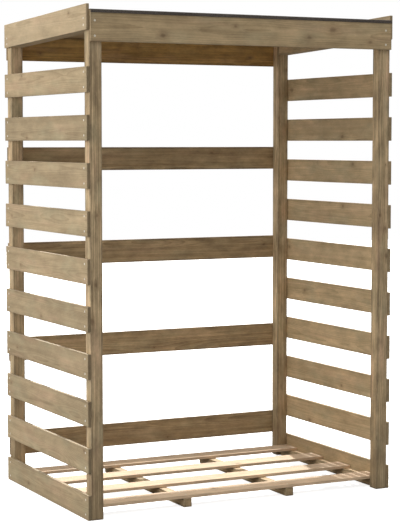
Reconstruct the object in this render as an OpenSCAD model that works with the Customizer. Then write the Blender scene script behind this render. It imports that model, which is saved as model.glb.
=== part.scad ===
// Open timber log store: four corner posts, ten spaced slats on each side, five
// rails across the back, a slatted floor on bearers and a felted roof that falls
// to the back between two barge boards.
// Frame: origin on the ground at the centre of the footprint, +X to the right
// along the open front, +Y to the back, +Z up. Units are millimetres.

/* [Overall] */
// Width over the outer faces of the posts
frame_w = 1300; // [1000:10:1800]
// Depth over the front and back faces of the posts
frame_d = 868; // [700:2:1100]
// Height of the barge boards' front top corner above the ground
front_h = 1910; // [1860:5:2300]
// Fall of the roof from the front face to the back face of the posts
roof_fall = 25; // [10:1:60]

/* [Posts] */
// Size of a post across the width of the store
post_w = 49; // [38:1:75]
// Size of a post from front to back
post_d = 49; // [38:1:75]

/* [Boards] */
// Thickness of every slat, back rail, barge board and fascia
board_t = 12.5; // [10:0.5:25]
// Number of slats on each side
slat_count = 10; // [4:1:12]
// Height of a side slat
slat_h = 95; // [70:1:115]
// Gap between the top slat and the low end of the barge board
slat_clear = 107.4; // [20:0.2:160]
// Height of a barge board, measured upright
barge_h = 95; // [80:1:140]
// Height that the barge boards stand above the roofing felt
barge_stand = 20; // [5:1:40]
// Height of the fascia board across the front edge of the roof
fascia_h = 115; // [80:1:150]

/* [Back rails] */
// Height of a back rail
back_rail_h = 98; // [60:1:130]
// Number of back rails below the top one
back_rail_count = 4; // [2:1:6]
// Height of the lowest back rail's bottom edge above the ground
back_rail_low = 99; // [50:1:150]
// Gap between the top back rail and the next one down
back_rail_clear = 355.8; // [100:0.2:400]

/* [Roof] */
// Thickness of the roof board
roof_t = 23; // [15:1:30]
// Thickness of the roofing felt
felt_t = 3; // [2:0.5:5]
// How far the felt is turned down over the front and back edges of the roof
felt_turn = 14; // [8:1:17]
// Height of the rails between the posts that carry the sides of the roof board
roof_rail_h = 49; // [35:1:75]

/* [Floor] */
// Width and height of a floor bearer
bearer = 34; // [25:1:60]
// Distance from the centre line to the middle of each inner bearer
inner_bearer_x = 226; // [120:1:300]
// Width of a floor slat, from front to back
floor_slat_w = 95; // [60:1:140]
// Number of floor slats
floor_slat_count = 4; // [3:1:4]

/* [Hidden] */
// Half sizes, to the outer faces of the posts
half_w = frame_w / 2;
half_d = frame_d / 2;
// Inner faces of the posts
inner_x = half_w - post_w;
inner_y = half_d - post_d;
// Outer faces of the fascia and of the back rails
front_y = -half_d - board_t;
back_y = half_d + board_t;
// The roof drops by this much for each millimetre towards the back
roof_slope = roof_fall / frame_d;
// Heights at the front face of the posts, from the barge boards down
roof_top_z = front_h - barge_stand;
board_top_z = roof_top_z - felt_t;
roof_under_z = board_top_z - roof_t;
// Height of the top slat's top edge, and the distance from one side slat to the next
slat_top_z = front_h - roof_fall - barge_h - slat_clear;
slat_pitch = (slat_top_z - slat_h) / (slat_count - 1);
// Height of the top back rail, and the distance from one lower back rail to the next
back_rail_top_z = falling(roof_under_z, back_y) - back_rail_h;
back_rail_pitch = (back_rail_top_z - back_rail_clear - back_rail_h - back_rail_low) / (back_rail_count - 1);
// Distance from one floor slat to the next
floor_pitch = (2 * inner_y - floor_slat_w) / (floor_slat_count - 1);
// The four bearers, by the middle of each
bearer_x = [-half_w + bearer / 2, -inner_bearer_x, inner_bearer_x, half_w - bearer / 2];
timber = [0.64, 0.55, 0.40];
floor_timber = [0.80, 0.70, 0.54];
felt = [0.20, 0.18, 0.17];

// Height of a plane that falls with the roof, by its height at the posts' front face
function falling(z, y) = z - (y + half_d) * roof_slope;

// A board that falls with the roof: it runs from y0 to y1 and from x0 to x1, and its
// top and bottom are z0 and z1 high at the front face of the posts
module falling_board(x0, x1, y0, y1, z0, z1) {
    translate([x0, 0, 0])
        rotate([90, 0, 90])
            linear_extrude(x1 - x0)
                polygon([
                    [y0, falling(z0, y0)],
                    [y1, falling(z0, y1)],
                    [y1, falling(z1, y1)],
                    [y0, falling(z1, y0)]
                ]);
}

// A corner post from the ground to the underside of the roof; x and y are its low corner
module post(x, y) {
    color(timber)
        translate([x, 0, 0])
            rotate([90, 0, 90])
                linear_extrude(post_w)
                    polygon([
                        [y, 0],
                        [y + post_d, 0],
                        [y + post_d, falling(roof_under_z, y + post_d)],
                        [y, falling(roof_under_z, y)]
                    ]);
}

// Slat i of a side, counted from the ground; x is its low face
module side_slat(x, i) {
    color(timber)
        translate([x, -half_d, (i - 1) * slat_pitch])
            cube([board_t, frame_d, slat_h]);
}

// A barge board on the outside of the posts; x is its low face
module barge(x) {
    color(timber)
        falling_board(x, x + board_t, -half_d, half_d, front_h - barge_h, front_h);
}

// The board over the front edge of the roof board, its top cut to the fall of the roof
module fascia() {
    top_z = falling(board_top_z, front_y);
    color(timber)
        translate([-half_w, 0, 0])
            rotate([90, 0, 90])
                linear_extrude(frame_w)
                    polygon([
                        [front_y, top_z - fascia_h],
                        [-half_d, top_z - fascia_h],
                        [-half_d, board_top_z],
                        [front_y, top_z]
                    ]);
}

// A rail across the back faces of the posts, by the height of its bottom edge
module back_rail(z) {
    color(timber)
        translate([-half_w, half_d, z])
            cube([frame_w, board_t, back_rail_h]);
}

// Floor bearer i, from the left, lying on the ground between the front and back posts
module floor_bearer(i) {
    color(timber)
        translate([bearer_x[i - 1] - bearer / 2, -inner_y, 0])
            cube([bearer, 2 * inner_y, bearer]);
}

// Floor slat i, from the front, across all the bearers
module floor_slat(i) {
    color(floor_timber)
        translate([-half_w, -inner_y + (i - 1) * floor_pitch, bearer])
            cube([frame_w, floor_slat_w, board_t]);
}

// A rail under one side of the roof board, as thick as the posts and between them
module roof_rail(x) {
    color(timber)
        falling_board(x, x + post_w, -inner_y, inner_y, roof_under_z - roof_rail_h, roof_under_z);
}

// The board between the two barge boards, from the fascia to the outside of the back rails
module roof_board() {
    color(timber)
        falling_board(-half_w, half_w, -half_d, back_y, roof_under_z, board_top_z);
}

// The felt over the board and the fascia, turned down over the front and back edges
module roof_felt() {
    color(felt)
        difference() {
            falling_board(-half_w, half_w, front_y - felt_t, back_y + felt_t, roof_top_z - felt_turn, roof_top_z);
            falling_board(-frame_w, frame_w, front_y, back_y, -front_h, board_top_z);
        }
}

post(-half_w, -half_d);  // post_front_left
post(inner_x, -half_d);  // post_front_right
post(-half_w, inner_y);  // post_back_left
post(inner_x, inner_y);  // post_back_right
for (i = [1 : slat_count]) {
    side_slat(-half_w - board_t, i);
    side_slat(half_w, i);
}
barge(-half_w - board_t);  // barge_left
barge(half_w);  // barge_right
fascia();
for (i = [1 : back_rail_count])
    back_rail(back_rail_low + (i - 1) * back_rail_pitch);
back_rail(back_rail_top_z);  // back_rail_top
for (i = [1 : len(bearer_x)])
    floor_bearer(i);
for (i = [1 : floor_slat_count])
    floor_slat(i);
roof_rail(-half_w);  // roof_rail_left
roof_rail(inner_x);  // roof_rail_right
roof_board();
roof_felt();
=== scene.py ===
# %% [markdown]
# # An open log store in sawn pine
# This lesson finishes a small open-fronted log store: four posts, slatted sides, rails across
# the back, a floor of spaced boards and a felted roof that falls to the back.
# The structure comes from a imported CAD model, so every size and place here is read from that
# model's boxes. The lesson adds what a CAD model leaves out: sawn boards with eased edges,
# countersunk screws, clout nails in the felt, and timber that looks like timber.

# %% Load the frame
import math
import random

import bmesh
import bpy
from mathutils import Matrix, Vector, noise


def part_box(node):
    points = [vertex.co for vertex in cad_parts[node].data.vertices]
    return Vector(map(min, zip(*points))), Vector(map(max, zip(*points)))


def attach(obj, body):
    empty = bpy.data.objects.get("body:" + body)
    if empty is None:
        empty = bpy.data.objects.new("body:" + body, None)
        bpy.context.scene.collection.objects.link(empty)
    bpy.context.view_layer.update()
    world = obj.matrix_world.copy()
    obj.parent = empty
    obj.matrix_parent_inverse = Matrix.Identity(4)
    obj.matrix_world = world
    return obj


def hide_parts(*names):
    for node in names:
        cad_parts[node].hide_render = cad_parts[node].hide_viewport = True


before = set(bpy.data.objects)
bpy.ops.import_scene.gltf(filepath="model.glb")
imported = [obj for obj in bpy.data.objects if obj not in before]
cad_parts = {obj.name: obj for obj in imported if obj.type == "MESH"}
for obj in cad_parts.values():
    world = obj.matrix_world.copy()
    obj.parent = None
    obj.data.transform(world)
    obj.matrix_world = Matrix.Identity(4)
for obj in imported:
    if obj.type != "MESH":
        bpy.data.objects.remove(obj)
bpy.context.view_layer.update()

MM = 0.001
print("nodes in the frame:", len(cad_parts))

# %% [markdown]
# ## Boards as data
# On the real store each board is one length of sawn timber, fixed face down on a post or a
# bearer. A short record for each board keeps what the mesh and the material both need: its
# box, the way its grain runs, which way its broad face looks, and its slot in the record.
# A list of records could be typed by hand, but reading the boxes keeps every board where the
# model has it when a size changes.

# %% Read the boards from the frame
AXES = {"X": Vector((1, 0, 0)), "Y": Vector((0, 1, 0)), "Z": Vector((0, 0, 1))}
FAMILIES = (  # start of the node's name, grain, slot, does it follow the roof's fall
    ("post_", "Z", "posts", False),
    ("slat_", "Y", "cladding", False),
    ("barge_", "Y", "cladding", True),
    ("fascia", "X", "cladding", False),
    ("back_rail_", "X", "cladding", False),
    ("floor_bearer_", "Y", "bearers", False),
    ("floor_slat_", "X", "floor", False),
    ("roof_rail_", "Y", "roof_timber", True),
    ("roof_board", "X", "roof_timber", True),
)


def read_board(node, run, slot, leans):
    """One board's box in metres, its three directions and its slot."""
    low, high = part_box(node)
    sides = sorted((a for a in "XYZ" if a != run), key=lambda a: (high - low).dot(AXES[a]))
    return {
        "run": run, "slot": slot, "leans": leans,
        "low": low.copy(), "high": high.copy(), "through": sides[0], "across": sides[1],
    }


boards = {}
for start, run, slot, leans in FAMILIES:
    for node in sorted(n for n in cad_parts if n.startswith(start)):
        boards[node] = read_board(node, run, slot, leans)
print("boards:", len(boards))

# %% [markdown]
# ## The fall of the roof
# Rain runs off to the back, so the posts are cut to a slope and the roof lies along it. The
# slope could be written down again here, but then it could disagree with the model. It is
# worked out from the tops of a front and a back post instead.

# %% Measure the fall
front_post, back_post = boards["post_front_left"], boards["post_back_left"]
fall = (front_post["high"].z - back_post["high"].z) / (back_post["low"].y - front_post["low"].y)


def drop_at(y, start_y):
    """How far the roof has fallen at y, counted from start_y."""
    return fall * (y - start_y)


print("fall of the roof:", round(fall * 1000, 2), "mm in each metre")

# %% [markdown]
# ## A sawn board
# A box with sharp edges never looks like timber. Real sawn boards have arrises eased by
# handling, faces that wander by a fraction of a millimetre, and small bruises along the edges.
# A Bevel modifier on a box would give the eased edges only. Lofting the board from rings of
# points gives all three, with quads of an even size that take shading well. The unevenness
# only ever goes inwards, so the board stays in the space that the model gives it.

# %% The board's cross-section
ARC_STEPS = 3
FACE_STEP = 20 * MM
HOLD = 1.2 * MM  # a row of points this far from each arris keeps the shading of the face flat


def face_stops(length):
    """Places along one flat face, from one arris to the next."""
    if length < 5 * HOLD:
        return []
    count = max(1, round(length / FACE_STEP))
    inner = [length * i / count for i in range(1, count)]
    return [HOLD] + inner + [length - HOLD]


def cross_section(width, depth, radius):
    """Points round a rounded rectangle: place, outward direction, and 1 at an arris."""
    ring = []
    for corner, (sx, sy) in enumerate(((1, 1), (-1, 1), (-1, -1), (1, -1))):
        centre = Vector((sx * (width / 2 - radius), sy * (depth / 2 - radius)))
        for step in range(ARC_STEPS + 1):
            turn = math.radians(90 * (corner + step / ARC_STEPS))
            out = Vector((math.cos(turn), math.sin(turn)))
            ring.append((centre + radius * out, out, 1.0))
        last, normal = ring[-1][0].copy(), ring[-1][1].copy()
        forward = Vector((-normal.y, normal.x))
        length = (width if corner % 2 == 0 else depth) - 2 * radius
        ring += [(last + forward * stop, normal, 0.0) for stop in face_stops(length)]
    return ring


print("points round a slat:", len(cross_section(95 * MM, 12.5 * MM, 1.5 * MM)))

# %% Unevenness of a sawn face
ARRIS = {"posts": 2.2 * MM, "cladding": 1.4 * MM, "bearers": 1.6 * MM, "floor": 1.6 * MM,
         "roof_timber": 0.8 * MM}
STATION = 26 * MM
FACE_WAVE = 0.45 * MM
BRUISE = 1.1 * MM
BRUISE_FROM = 0.25  # only where the noise rises above this is an arris bruised


def stations(length, ease):
    """Where the rings stand along the board, close together at its ends."""
    count = max(2, round((length - 2 * ease) / STATION))
    return [0.0] + [ease + (length - 2 * ease) * i / count for i in range(count + 1)] + [length]


def inward(along, point, at_arris, salt):
    """How far a point of the surface lies inside the board's box."""
    where = Vector((along * 4.0, point.x * 14.0, point.y * 14.0)) + salt
    deep = FACE_WAVE * (0.5 + 0.5 * noise.noise(where))
    if at_arris:
        bruise = noise.noise(Vector((along * 22.0, point.x * 40.0, point.y * 40.0)) + salt)
        deep += BRUISE * max(0.0, bruise - BRUISE_FROM)
    return max(0.0, deep)


print("deepest bruise:", round(BRUISE / MM, 1), "mm")

# %% From the loft to the store
def to_world(board, along, point):
    """A point of the loft in the frame's own metres, following the roof where the board does."""
    low, high = board["low"], board["high"]
    spot = (low + high) / 2
    axis = {name: index for index, name in enumerate("XYZ")}
    spot[axis[board["run"]]] = low[axis[board["run"]]] + along
    spot[axis[board["across"]]] += point.x
    spot[axis[board["through"]]] += point.y
    if board["leans"]:
        spot.z += drop_at((low.y + high.y) / 2, low.y) - drop_at(spot.y, low.y)
    elif board["run"] == "Z":
        spot.z *= 1 - drop_at(spot.y, low.y) / high.z
    return spot


def sizes(board):
    """The board's length, width and thickness, without what its lean adds to its box."""
    span = board["high"] - board["low"]
    if board["leans"]:
        span.z -= drop_at(board["high"].y, board["low"].y)
    return tuple(span.dot(AXES[board[side]]) for side in ("run", "across", "through"))


print("front post, in metres:", [round(size, 3) for size in sizes(front_post)])

# %% Loft a board along its grain
def skin(mesh, rings):
    """Faces between each ring of points and the next."""
    around = len(rings[0])
    for first, second in zip(rings, rings[1:]):
        for i in range(around):
            j = (i + 1) % around
            mesh.faces.new((first[i], first[j], second[j], second[i]))


def loft_board(board, number):
    """The mesh of one sawn board."""
    length, width, depth = sizes(board)
    ease = ARRIS[board["slot"]]
    salt = Vector((number * 3.7, number * 1.9, number * 5.3))
    outline = cross_section(width, depth, ease)
    mesh = bmesh.new()
    rings = []
    places = stations(length, ease)
    for index, along in enumerate(places):
        at_end = index in (0, len(places) - 1)
        ring = []
        for point, out, at_arris in outline:
            deep = inward(along, point, at_arris, salt) + (ease if at_end else 0.0)
            ring.append(mesh.verts.new(to_world(board, along, point - out * deep)))
        rings.append(ring)
    skin(mesh, rings)
    mesh.faces.new(list(reversed(rings[0])))
    mesh.faces.new(rings[-1])
    bmesh.ops.recalc_face_normals(mesh, faces=mesh.faces)
    return mesh


print("rings along a post:", len(stations(sizes(front_post)[0], ARRIS["posts"])))

# %% From mesh to object
def smooth(data, hard_turn=38):
    """Smooth faces, with sharp edges where they turn by more than some degrees."""
    data.shade_smooth()
    data.set_sharp_from_angle(angle=math.radians(hard_turn))


def put_in_scene(name, data):
    """An object with this mesh, in the scene."""
    piece = bpy.data.objects.new(name, data)
    bpy.context.scene.collection.objects.link(piece)
    return piece


def plain_mesh(mesh, name):
    """Turn a bmesh into mesh data."""
    data = bpy.data.meshes.new(name)
    mesh.to_mesh(data)
    mesh.free()
    return data


def finish_mesh(mesh, name):
    """Turn a bmesh into an object with smooth faces."""
    data = plain_mesh(mesh, name)
    smooth(data)
    return put_in_scene(name, data)


print("mesh helpers ready")

# %% Saw all the boards
pieces = {}
for number, (node, board) in enumerate(boards.items()):
    piece = finish_mesh(loft_board(board, number), "sawn_" + node)
    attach(piece, "root")
    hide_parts(node)
    pieces[node] = piece
print("sawn boards:", len(pieces), "with", sum(len(p.data.polygons) for p in pieces.values()), "faces")

# %% [markdown]
# ## Where the screws go
# Each slat is held by two screws at each end, driven through its face into the middle of the
# post. The fascia and the back rails are held the same way, and each floor board has two
# screws over every bearer. The places are worked out from the boards and the posts that carry
# them, and are kept as a point on the face with the direction the screw head looks in.

# %% Screws on the two sides
FROM_END = 28.5 * MM
FROM_EDGE = 19.5 * MM
BARGE_HEIGHTS = {"front": (19 * MM, 44 * MM), "back": (15 * MM, 38 * MM)}  # above its lower edge


def side_screws(board, outward):
    """Two screws at each end of a side slat, on its outer face."""
    low, high = board["low"], board["high"]
    x = high.x if outward > 0 else low.x
    return [
        (Vector((x, y, z)), Vector((outward, 0, 0)))
        for y in (low.y + FROM_END, high.y - FROM_END)
        for z in (low.z + FROM_EDGE, high.z - FROM_EDGE)
    ]


def barge_screws(board, outward):
    """Two screws at each end of a barge board, low enough to meet the post under the roof."""
    low, high = board["low"], board["high"]
    x = high.x if outward > 0 else low.x
    lower_edge = high.z - sizes(board)[1]
    ends = ((low.y + FROM_END, "front"), (high.y - FROM_END, "back"))
    return [
        (Vector((x, y, lower_edge - drop_at(y, low.y) + up)), Vector((outward, 0, 0)))
        for y, end in ends
        for up in BARGE_HEIGHTS[end]
    ]


print("screws in a slat:", len(side_screws(boards["slat_left_1"], -1)))

# %% Screws on the front, the back and the floor
FASCIA_ENDS = (17 * MM, 27 * MM)  # from its left and right ends
FASCIA_HEIGHTS = (20 * MM, 76 * MM)


def front_screws(board):
    """Two screws at each end of the fascia."""
    low, high = board["low"], board["high"]
    return [
        (Vector((x, low.y, low.z + up)), Vector((0, -1, 0)))
        for x in (low.x + FASCIA_ENDS[0], high.x - FASCIA_ENDS[1])
        for up in FASCIA_HEIGHTS
    ]


def back_screws(board):
    """Two screws at each end of a back rail, over the middle of the back posts."""
    low, high = board["low"], board["high"]
    inset = sizes(back_post)[1] / 2
    return [
        (Vector((x, high.y, z)), Vector((0, 1, 0)))
        for x in (low.x + inset, high.x - inset)
        for z in (low.z + FROM_EDGE, high.z - FROM_EDGE)
    ]


def floor_screws(board):
    """Two screws through a floor board into every bearer under it."""
    low, high = board["low"], board["high"]
    bearers = [b for n, b in boards.items() if n.startswith("floor_bearer_")]
    return [
        (Vector(((b["low"].x + b["high"].x) / 2, y, high.z)), Vector((0, 0, 1)))
        for b in bearers
        for y in (low.y + FROM_EDGE, high.y - FROM_EDGE)
    ]


print("screws in a floor slat:", len(floor_screws(boards["floor_slat_1"])))

# %% Lay out all the screws
SCREWS = {"left_side": {}, "right_side": {}, "front": {}, "back": {}, "floor": {}}
for node, board in boards.items():
    outward = -1 if "left" in node else 1
    region = "left_side" if outward < 0 else "right_side"
    if node.startswith("slat_"):
        SCREWS[region][node] = side_screws(board, outward)
    elif node.startswith("barge_"):
        SCREWS[region][node] = barge_screws(board, outward)
    elif node.startswith("fascia"):
        SCREWS["front"][node] = front_screws(board)
    elif node.startswith("back_rail_"):
        SCREWS["back"][node] = back_screws(board)
    elif node.startswith("floor_slat_"):
        SCREWS["floor"][node] = floor_screws(board)
print("screws:", sum(len(s) for region in SCREWS.values() for s in region.values()))

# %% [markdown]
# ## Countersinks
# A screw driven into soft pine pulls its head just under the face and leaves a clean cone
# round it. The cone could be painted on, but then it would vanish in a raking light. Each
# board is cut with a Boolean modifier whose cutter is a set of short cones, and the result is
# kept as the board's own mesh.

# %% Cut the countersinks
SINK_MOUTH = 4.8 * MM
SINK_FOOT = 2.2 * MM
SINK_DEPTH = 3.4 * MM
SINK_PROUD = 0.6 * MM
SINK_SIDES = 24


def turned_to(normal):
    """The rotation that turns +Z to a direction."""
    return normal.to_track_quat("Z", "Y").to_matrix().to_4x4()


def sink_cutter(places):
    """One mesh of short cones, each standing a little out of the board's face."""
    mesh = bmesh.new()
    slope = (SINK_MOUTH - SINK_FOOT) / SINK_DEPTH
    for place, normal in places:
        centre = place + normal * (SINK_PROUD - SINK_DEPTH) / 2
        bmesh.ops.create_cone(
            mesh, cap_ends=True, segments=SINK_SIDES, radius1=SINK_FOOT,
            radius2=SINK_MOUTH + slope * SINK_PROUD, depth=SINK_DEPTH + SINK_PROUD,
            matrix=Matrix.Translation(centre) @ turned_to(normal),
        )
    return put_in_scene("sink_cutter", plain_mesh(mesh, "sink_cutter"))


def cut_sinks(piece, places):
    """Cut the cones out of a board, and keep the result as its mesh."""
    cutter = sink_cutter(places)
    cut = piece.modifiers.new("countersinks", "BOOLEAN")
    cut.operation = "DIFFERENCE"
    cut.solver = "EXACT"
    cut.object = cutter
    graph = bpy.context.evaluated_depsgraph_get()
    data = bpy.data.meshes.new_from_object(piece.evaluated_get(graph))
    piece.modifiers.clear()
    piece.data = data
    smooth(data)
    bpy.data.objects.remove(cutter)


for region in SCREWS.values():
    for node, places in region.items():
        cut_sinks(pieces[node], places)
print("faces after the countersinks:", sum(len(p.data.polygons) for p in pieces.values()))

# %% [markdown]
# ## Screws and nails
# The screws are plated wood screws with a flat head and a cross recess. A head is a disc of
# rings whose points are pressed down inside a cross, with a cone below it that seats in the
# countersink. Each screw stops at a different turn, as they do when driven by hand, so every
# copy gets its own spin. All the screws of one side are one mesh: they never part, and a
# hundred separate objects would only slow the file down.

# %% Make one screw head
HEAD_RADIUS = 4.2 * MM
HEAD_RINGS = (0.16, 0.30, 0.46, 0.60, 0.74, 0.90, 1.0)
HEAD_SIDES = 32
CROSS_REACH = 0.62
CROSS_HALF = 0.17
CROSS_DEPTH = 1.3 * MM
CROSS_RISE = 0.45  # share of its depth that the cross has lost at the ends of its arms
HEAD_BELOW = 0.35 * MM  # how far the head lies below the board's face
HEAD_CROWN = 0.25 * MM  # how much higher the middle of the head is than its rim
HEAD_RIM = 0.3 * MM
HEAD_CONE = 2.0 * MM
SHANK_RADIUS = 2.0 * MM


def recess(x, y):
    """Depth of the cross recess at a place on the head, given as a share of its radius."""
    near, far = sorted((abs(x), abs(y)))
    if near > CROSS_HALF or far > CROSS_REACH:
        return 0.0
    return CROSS_DEPTH * (1 - CROSS_RISE * far / CROSS_REACH)


def screw_shape():
    """Points and faces of one head, looking along +Z, with the board's face at zero."""
    points, faces = [Vector((0, 0, -HEAD_BELOW - CROSS_DEPTH))], []
    for share in HEAD_RINGS:
        sunk = HEAD_CROWN * share * share
        for side in range(HEAD_SIDES):
            turn = 2 * math.pi * side / HEAD_SIDES
            x, y = share * math.cos(turn), share * math.sin(turn)
            height = -sunk - HEAD_BELOW - recess(x, y)
            points.append(Vector((x * HEAD_RADIUS, y * HEAD_RADIUS, height)))
    for radius, under_rim in ((HEAD_RADIUS * 0.98, HEAD_RIM), (SHANK_RADIUS, HEAD_CONE)):
        for side in range(HEAD_SIDES):
            turn = 2 * math.pi * side / HEAD_SIDES
            below = -under_rim - HEAD_BELOW - HEAD_CROWN
            points.append(Vector((radius * math.cos(turn), radius * math.sin(turn), below)))
    for side in range(HEAD_SIDES):
        after = (side + 1) % HEAD_SIDES
        faces.append((0, 1 + side, 1 + after))
        for ring in range(len(HEAD_RINGS) + 1):
            a, b = 1 + ring * HEAD_SIDES, 1 + (ring + 1) * HEAD_SIDES
            faces.append((a + side, b + side, b + after, a + after))
    last = 1 + (len(HEAD_RINGS) + 1) * HEAD_SIDES
    faces.append(tuple(last + side for side in reversed(range(HEAD_SIDES))))
    return points, faces


print("points in a screw head:", len(screw_shape()[0]))

# %% Put a head in every hole
def copy_shape(name, shape, places, spin):
    """One mesh with a copy of the shape at every place, turned to look along its normal."""
    points, faces, all_points, all_faces = *shape, [], []
    for place, normal in places:
        first = len(all_points)
        turn = Matrix.Rotation(spin.uniform(0, math.pi), 4, "Z")
        put = Matrix.Translation(place) @ turned_to(normal) @ turn
        all_points += [put @ point for point in points]
        all_faces += [tuple(first + i for i in face) for face in faces]
    data = bpy.data.meshes.new(name)
    data.from_pydata(all_points, [], all_faces)
    smooth(data, 40)
    return put_in_scene(name, data)


fixings = []
spin = random.Random(11)
for region, held in SCREWS.items():
    places = [place for node in sorted(held) for place in held[node]]
    piece = copy_shape("screws_" + region, screw_shape(), places, spin)
    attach(piece, "root")
    fixings.append(piece)
print("screw meshes:", [p.name for p in fixings])

# %% [markdown]
# ## Roofing felt
# The roof is one width of mineral felt, laid over the board and the fascia and turned down at
# the front and the back, where clout nails hold it. Felt is soft, so its folds are round and its
# lower edges are never quite straight. A cloth simulation would be possible, but the felt lies
# flat on a board all over, so a folded strip drawn as a section and carried from side to side
# gives the same shape with full control.

# %% Fold the felt
FELT_FOLD = 5 * MM
FELT_STATION = 22 * MM
FELT_WAVE = 0.5 * MM
EDGE_WANDER = 1.2 * MM
FELT_HEM = 3 * MM  # the strip above each lower edge that has its own row of points
FOLD_TURNS = tuple(math.radians(angle) for angle in (22.5, 45, 67.5))
felt_low, felt_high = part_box("roof_felt")
deck = boards["roof_board"]
felt_thick = felt_high.z - drop_at(deck["low"].y, felt_low.y) - deck["high"].z
felt_turn = felt_high.z - drop_at(felt_high.y, felt_low.y) - felt_low.z


def felt_path(inset):
    """The felt's section from the front lower edge, over the roof, to the back lower edge."""
    fold = max(FELT_FOLD - inset, 1 * MM)
    front, back = felt_low.y + inset, felt_high.y - inset
    top, foot = felt_high.z - inset, felt_high.z - felt_turn
    path = [(front, foot), (front, foot + FELT_HEM), (front, top - fold)]
    path += [
        (front + fold * (1 - math.cos(turn)), top - fold * (1 - math.sin(turn)))
        for turn in FOLD_TURNS
    ]
    flat = back - front - 2 * fold
    count = round(flat / (2 * FELT_STATION))
    path += [(front + fold + flat * i / count, top) for i in range(count + 1)]
    path += [
        (back - fold * (1 - math.sin(turn)), top - fold * (1 - math.cos(turn)))
        for turn in FOLD_TURNS
    ]
    return path + [(back, top - fold), (back, foot + FELT_HEM), (back, foot)]


print("points along the felt's section:", len(felt_path(0.0)))

# %% Carry the section from side to side
def felt_point(x, y, z, outer):
    """A point of the felt in the frame, with a slow unevenness that only goes inwards."""
    soft = 0.5 + 0.5 * noise.noise(Vector((x * 7.0, y * 7.0, 3.0)))
    sink = FELT_WAVE * soft if outer and z > felt_high.z - FELT_FOLD else 0.0
    lift = 0.0
    if z < felt_high.z - felt_turn + 1 * MM:
        side = 40.0 if y > 0 else 0.0
        lift = EDGE_WANDER * (0.5 + 0.5 * noise.noise(Vector((x * 11.0, side, 8.0))))
    return Vector((x, y, z - sink + lift - drop_at(y, felt_low.y)))


def fold_felt():
    """The mesh of the felt: an outer and an inner surface, closed at every edge."""
    outer, inner = felt_path(0.0), felt_path(felt_thick)
    section = [(y, z, True) for y, z in outer] + [(y, z, False) for y, z in reversed(inner)]
    span = felt_high.x - felt_low.x
    count = round(span / FELT_STATION)
    mesh = bmesh.new()
    rings = []
    for i in range(count + 1):
        x = felt_low.x + span * i / count
        rings.append([mesh.verts.new(felt_point(x, y, z, top)) for y, z, top in section])
    skin(mesh, rings)
    around = len(section)
    half = around // 2
    for ring in (rings[0], rings[-1]):
        for i in range(half - 1):
            mesh.faces.new((ring[i], ring[i + 1], ring[around - 2 - i], ring[around - 1 - i]))
    bmesh.ops.recalc_face_normals(mesh, faces=mesh.faces)
    return mesh


felt = finish_mesh(fold_felt(), "felt_sheet")
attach(felt, "root")
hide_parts("roof_felt")
print("felt:", round(felt_thick * 1000, 2), "mm thick, turned down", round(felt_turn * 1000, 1), "mm")

# %% Nail the felt down
NAIL_RADIUS = 4.8 * MM
NAIL_HEIGHT = 0.9 * MM
NAIL_SPACING = 150 * MM
NAIL_INSET = 24 * MM
NAIL_SIDES = 20


def clout_shape():
    """A flat galvanised nail head with a rounded rim, sitting on the felt."""
    profile = ((1.0, -0.3 * MM), (1.0, NAIL_HEIGHT * 0.55), (0.86, NAIL_HEIGHT * 0.9),
               (0.5, NAIL_HEIGHT))
    points, faces = [], []
    for share, height in profile:
        for side in range(NAIL_SIDES):
            turn = 2 * math.pi * side / NAIL_SIDES
            reach = share * NAIL_RADIUS
            points.append(Vector((reach * math.cos(turn), reach * math.sin(turn), height)))
    for ring in range(len(profile) - 1):
        for side in range(NAIL_SIDES):
            after = (side + 1) % NAIL_SIDES
            a, b = ring * NAIL_SIDES, (ring + 1) * NAIL_SIDES
            faces.append((a + side, a + after, b + after, b + side))
    faces.append(tuple((len(profile) - 1) * NAIL_SIDES + side for side in range(NAIL_SIDES)))
    faces.append(tuple(reversed(range(NAIL_SIDES))))
    return points, faces


def felt_nails(rng):
    """Nails along the front and back of the roof and up both sides, none quite in line."""
    width = felt_high.x - felt_low.x
    depth = felt_high.y - felt_low.y
    across, back = int(width / NAIL_SPACING), int(depth / NAIL_SPACING)
    places = []
    for i in range(across + 1):
        for y in (felt_low.y + NAIL_INSET, felt_high.y - NAIL_INSET):
            places.append((felt_low.x + NAIL_INSET + i * (width - 2 * NAIL_INSET) / across, y))
    for i in range(1, back):
        for x in (felt_low.x + NAIL_INSET, felt_high.x - NAIL_INSET):
            places.append((x, felt_low.y + NAIL_INSET + i * (depth - 2 * NAIL_INSET) / back))
    up = Vector((0, fall, 1)).normalized()
    found = []
    for x, y in places:
        x, y = x + rng.uniform(-4, 4) * MM, y + rng.uniform(-3, 3) * MM
        found.append((felt_point(x, y, felt_high.z, True), up))
    return found


nails = copy_shape("felt_nails", clout_shape(), felt_nails(random.Random(5)), spin)
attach(nails, "root")
fixings.append(nails)
print("clout nails:", len(nails.data.vertices) // (4 * NAIL_SIDES))

# %% [markdown]
# ## Helpers for shader nodes
# A material here is a network of nodes. Writing each node and link in full makes long cells,
# so a few helpers add one node each and hand back its output. Every helper takes either a
# socket to link or a plain value to set.

# %% Helpers for single nodes
def feed(tree, socket, value):
    """Link a socket, or set a plain value on it."""
    if isinstance(value, bpy.types.NodeSocket):
        tree.links.new(value, socket)
    elif socket.type == "RGBA" and len(value) == 3:
        socket.default_value = (*value, 1.0)
    else:
        socket.default_value = value


def maths(tree, operation, *values):
    """One Math node."""
    node = tree.nodes.new("ShaderNodeMath")
    node.operation = operation
    for socket, value in zip(node.inputs, values):
        feed(tree, socket, value)
    return node.outputs[0]


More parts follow.
